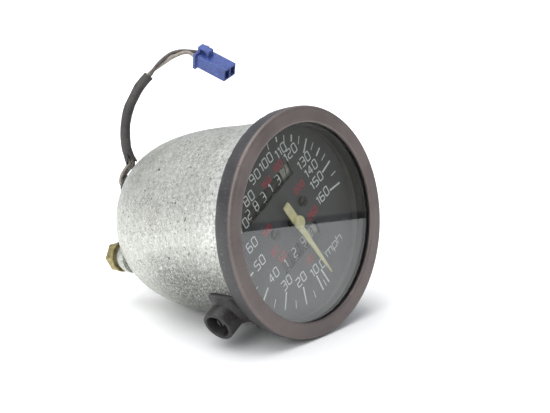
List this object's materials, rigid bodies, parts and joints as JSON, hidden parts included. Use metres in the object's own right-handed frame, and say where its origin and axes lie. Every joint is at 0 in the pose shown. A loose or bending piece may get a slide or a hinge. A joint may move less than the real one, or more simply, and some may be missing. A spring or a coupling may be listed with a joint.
{
  "type": "motorcycle speedometer head",
  "caption": "Round cable-driven motorcycle speedometer with a rounded metal bowl, two number-drum counters, a trip reset tube, rear studs and a short lamp lead.",
  "frame": {"origin": "centre of the drive neck where it leaves the back of the bowl", "axes": "+Y backwards along the gauge axis, so the dial faces -Y; +Z to the top of the dial; +X to the dial's right as it is read"},
  "size_m": [0.09, 0.09, 0.0958],
  "materials": {
    "bowl": "zinc-plated, mottled",
    "bezel": "aged satin black",
    "lens": "clear",
    "lens_gasket": "matte",
    "dial_surround": "matte grey",
    "dial_plate": "matte",
    "dial_screws": "blackened",
    "stop_pin": "zinc-plated",
    "front_plate": "satin",
    "frame_casting": "die-cast zinc",
    "pillars": "zinc-plated",
    "movement_screws": "zinc-plated",
    "case_screws": "zinc-plated",
    "drive_bush": "satin",
    "studs": "zinc-plated",
    "stud_washers": "yellow passivated",
    "stud_nuts": "yellow passivated",
    "lamp_holder": "matte",
    "lamp_bulb": "clear bulb with brass base",
    "lead_sleeve": "worn",
    "wire_a": "pvc insulation",
    "wire_b": "pvc insulation",
    "connector_shell": "nylon",
    "connector_terminals": "satin",
    "reset_guide": "matte black",
    "odo_axle": "zinc-plated",
    "odo_pinion_rod": "zinc-plated",
    "trip_pinion_rod": "zinc-plated",
    "spindle_bridge": "satin",
    "hairspring": "bronze strip",
    "idler_pin": "zinc-plated",
    "needle": "cream paint",
    "needle_cap": "cream paint",
    "needle_spindle": "zinc-plated",
    "speed_cup": "satin",
    "input_shaft": "zinc-plated",
    "magnet": "sintered",
    "cross_shaft": "zinc-plated",
    "layshaft": "zinc-plated",
    "trip_idler": "acetal",
    "reset_spindle": "zinc-plated",
    "odo_drum_1": "moulded, black",
    "odo_drum_2": "moulded, black",
    "odo_drum_3": "moulded, black",
    "odo_drum_4": "moulded, black",
    "odo_drum_5": "moulded, black",
    "odo_drum_6": "moulded, white",
    "trip_drum_1": "moulded, black",
    "trip_drum_2": "moulded, black",
    "trip_drum_3": "moulded, black",
    "trip_drum_4": "moulded, white",
    "odo_pinion_1": "acetal",
    "odo_pinion_2": "acetal",
    "odo_pinion_3": "acetal",
    "odo_pinion_4": "acetal",
    "odo_pinion_5": "acetal",
    "trip_pinion_1": "acetal",
    "trip_pinion_2": "acetal",
    "trip_pinion_3": "acetal"
  },
  "bodies": {
    "head": {"bowl": "bowl", "bezel": "bezel", "lens": "lens", "lens_gasket": "lens_gasket", "dial_surround": "dial_surround", "dial_plate": "dial_plate", "dial_screws": "dial_screws", "stop_pin": "stop_pin", "front_plate": "front_plate", "frame_casting": "frame_casting", "pillars": "pillars", "movement_screws": "movement_screws", "case_screws": "case_screws", "drive_bush": "drive_bush", "studs": "studs", "stud_washers": "stud_washers", "stud_nuts": "stud_nuts", "lamp_holder": "lamp_holder", "lamp_bulb": "lamp_bulb", "lead_sleeve": "lead_sleeve", "wire_a": "wire_a", "wire_b": "wire_b", "connector_shell": "connector_shell", "connector_terminals": "connector_terminals", "reset_guide": "reset_guide", "odo_axle": "odo_axle", "odo_pinion_rod": "odo_pinion_rod", "trip_pinion_rod": "trip_pinion_rod", "spindle_bridge": "spindle_bridge", "hairspring": "hairspring", "idler_pin": "idler_pin"},
    "pointer": {"needle": "needle", "needle_cap": "needle_cap", "needle_spindle": "needle_spindle", "speed_cup": "speed_cup"},
    "rotor": {"input_shaft": "input_shaft", "magnet": "magnet"},
    "cross_gear": {"cross_shaft": "cross_shaft"},
    "lay_gear": {"layshaft": "layshaft"},
    "idler_gear": {"trip_idler": "trip_idler"},
    "reset_shaft": {"reset_spindle": "reset_spindle"},
    "total_drum_1": {"odo_drum_1": "odo_drum_1"},
    "total_drum_2": {"odo_drum_2": "odo_drum_2"},
    "total_drum_3": {"odo_drum_3": "odo_drum_3"},
    "total_drum_4": {"odo_drum_4": "odo_drum_4"},
    "total_drum_5": {"odo_drum_5": "odo_drum_5"},
    "total_drum_6": {"odo_drum_6": "odo_drum_6"},
    "trip_wheel_1": {"trip_drum_1": "trip_drum_1"},
    "trip_wheel_2": {"trip_drum_2": "trip_drum_2"},
    "trip_wheel_3": {"trip_drum_3": "trip_drum_3"},
    "trip_wheel_4": {"trip_drum_4": "trip_drum_4"},
    "total_carry_1": {"odo_pinion_1": "odo_pinion_1"},
    "total_carry_2": {"odo_pinion_2": "odo_pinion_2"},
    "total_carry_3": {"odo_pinion_3": "odo_pinion_3"},
    "total_carry_4": {"odo_pinion_4": "odo_pinion_4"},
    "total_carry_5": {"odo_pinion_5": "odo_pinion_5"},
    "trip_carry_1": {"trip_pinion_1": "trip_pinion_1"},
    "trip_carry_2": {"trip_pinion_2": "trip_pinion_2"},
    "trip_carry_3": {"trip_pinion_3": "trip_pinion_3"}
  },
  "joints": [
    {"name": "needle_sweep", "type": "hinge", "parent": "head", "child": "pointer", "pos_m": [0, -0.07, 0], "axis": [0, 1, 0], "range_deg": [0, 290], "stiffness_Nm_per_rad": 0.0004, "springref_deg": -17.19},
    {"name": "drive_spin", "type": "hinge", "parent": "head", "child": "rotor", "pos_m": [0, -0.01, 0], "axis": [0, 1, 0], "continuous": true},
    {"name": "cross_spin", "type": "hinge", "parent": "head", "child": "cross_gear", "pos_m": [0.00995, -0.015, 0], "axis": [0, 0, 1], "continuous": true},
    {"name": "lay_spin", "type": "hinge", "parent": "head", "child": "lay_gear", "pos_m": [0.0181, -0.015, 0.00795], "axis": [0, 1, 0], "continuous": true},
    {"name": "idler_spin", "type": "hinge", "parent": "head", "child": "idler_gear", "pos_m": [0.014, -0.0572, 0.0023], "axis": [1, 0, 0], "continuous": true},
    {"name": "reset_turn", "type": "hinge", "parent": "head", "child": "reset_shaft", "pos_m": [-0.04, -0.0572, -0.011], "axis": [1, 0, 0], "continuous": true},
    {"name": "total_drum_6_spin", "type": "hinge", "parent": "head", "child": "total_drum_6", "pos_m": [0.00995, -0.0572, 0.0156], "axis": [1, 0, 0], "continuous": true},
    {"name": "total_drum_5_spin", "type": "hinge", "parent": "head", "child": "total_drum_5", "pos_m": [0.005, -0.0572, 0.0156], "axis": [1, 0, 0], "continuous": true},
    {"name": "total_drum_4_spin", "type": "hinge", "parent": "head", "child": "total_drum_4", "pos_m": [0.00005, -0.0572, 0.0156], "axis": [1, 0, 0], "continuous": true},
    {"name": "total_drum_3_spin", "type": "hinge", "parent": "head", "child": "total_drum_3", "pos_m": [-0.0049, -0.0572, 0.0156], "axis": [1, 0, 0], "continuous": true},
    {"name": "total_drum_2_spin", "type": "hinge", "parent": "head", "child": "total_drum_2", "pos_m": [-0.00985, -0.0572, 0.0156], "axis": [1, 0, 0], "continuous": true},
    {"name": "total_drum_1_spin", "type": "hinge", "parent": "head", "child": "total_drum_1", "pos_m": [-0.0148, -0.0572, 0.0156], "axis": [1, 0, 0], "continuous": true},
    {"name": "trip_wheel_4_spin", "type": "hinge", "parent": "reset_shaft", "child": "trip_wheel_4", "pos_m": [0.008, -0.0572, -0.011], "axis": [1, 0, 0], "continuous": true},
    {"name": "trip_wheel_3_spin", "type": "hinge", "parent": "reset_shaft", "child": "trip_wheel_3", "pos_m": [0.0019, -0.0572, -0.011], "axis": [1, 0, 0], "continuous": true},
    {"name": "trip_wheel_2_spin", "type": "hinge", "parent": "reset_shaft", "child": "trip_wheel_2", "pos_m": [-0.0042, -0.0572, -0.011], "axis": [1, 0, 0], "continuous": true},
    {"name": "trip_wheel_1_spin", "type": "hinge", "parent": "reset_shaft", "child": "trip_wheel_1", "pos_m": [-0.0103, -0.0572, -0.011], "axis": [1, 0, 0], "continuous": true},
    {"name": "total_carry_1_spin", "type": "hinge", "parent": "head", "child": "total_carry_1", "pos_m": [-0.01232, -0.0502, 0.0226], "axis": [1, 0, 0], "continuous": true},
    {"name": "total_carry_2_spin", "type": "hinge", "parent": "head", "child": "total_carry_2", "pos_m": [-0.00737, -0.0502, 0.0226], "axis": [1, 0, 0], "continuous": true},
    {"name": "total_carry_3_spin", "type": "hinge", "parent": "head", "child": "total_carry_3", "pos_m": [-0.00243, -0.0502, 0.0226], "axis": [1, 0, 0], "continuous": true},
    {"name": "total_carry_4_spin", "type": "hinge", "parent": "head", "child": "total_carry_4", "pos_m": [0.00252, -0.0502, 0.0226], "axis": [1, 0, 0], "continuous": true},
    {"name": "total_carry_5_spin", "type": "hinge", "parent": "head", "child": "total_carry_5", "pos_m": [0.00747, -0.0502, 0.0226], "axis": [1, 0, 0], "continuous": true},
    {"name": "trip_carry_1_spin", "type": "hinge", "parent": "head", "child": "trip_carry_1", "pos_m": [-0.00725, -0.0502, -0.018], "axis": [1, 0, 0], "continuous": true},
    {"name": "trip_carry_2_spin", "type": "hinge", "parent": "head", "child": "trip_carry_2", "pos_m": [-0.00115, -0.0502, -0.018], "axis": [1, 0, 0], "continuous": true},
    {"name": "trip_carry_3_spin", "type": "hinge", "parent": "head", "child": "trip_carry_3", "pos_m": [0.00495, -0.0502, -0.018], "axis": [1, 0, 0], "continuous": true}
  ],
  "couplings": [
    {"joint": "cross_spin", "follows": "drive_spin", "ratio": 0.0625},
    {"joint": "lay_spin", "follows": "drive_spin", "ratio": 0.0044643},
    {"joint": "idler_spin", "follows": "drive_spin", "ratio": 0.00049603},
    {"joint": "total_drum_6_spin", "follows": "drive_spin", "ratio": -0.00044643},
    {"joint": "total_drum_5_spin", "follows": "drive_spin", "ratio": -0.000044643},
    {"joint": "total_drum_4_spin", "follows": "drive_spin", "ratio": -0.0000044643},
    {"joint": "total_drum_3_spin", "follows": "drive_spin", "ratio": -0.00000044643},
    {"joint": "total_drum_2_spin", "follows": "drive_spin", "ratio": -0.000000044643},
    {"joint": "total_drum_1_spin", "follows": "drive_spin", "ratio": -0.0000000044643},
    {"joint": "trip_wheel_4_spin", "follows": "drive_spin", "ratio": -0.00044643},
    {"joint": "trip_wheel_3_spin", "follows": "drive_spin", "ratio": -0.000044643},
    {"joint": "trip_wheel_2_spin", "follows": "drive_spin", "ratio": -0.0000044643},
    {"joint": "trip_wheel_1_spin", "follows": "drive_spin", "ratio": -0.00000044643},
    {"joint": "total_carry_1_spin", "follows": "drive_spin", "ratio": 0.000000011161},
    {"joint": "total_carry_2_spin", "follows": "drive_spin", "ratio": 0.00000011161},
    {"joint": "total_carry_3_spin", "follows": "drive_spin", "ratio": 0.0000011161},
    {"joint": "total_carry_4_spin", "follows": "drive_spin", "ratio": 0.000011161},
    {"joint": "total_carry_5_spin", "follows": "drive_spin", "ratio": 0.00011161},
    {"joint": "trip_carry_1_spin", "follows": "drive_spin", "ratio": 0.0000011161},
    {"joint": "trip_carry_2_spin", "follows": "drive_spin", "ratio": 0.000011161},
    {"joint": "trip_carry_3_spin", "follows": "drive_spin", "ratio": 0.00011161}
  ]
}
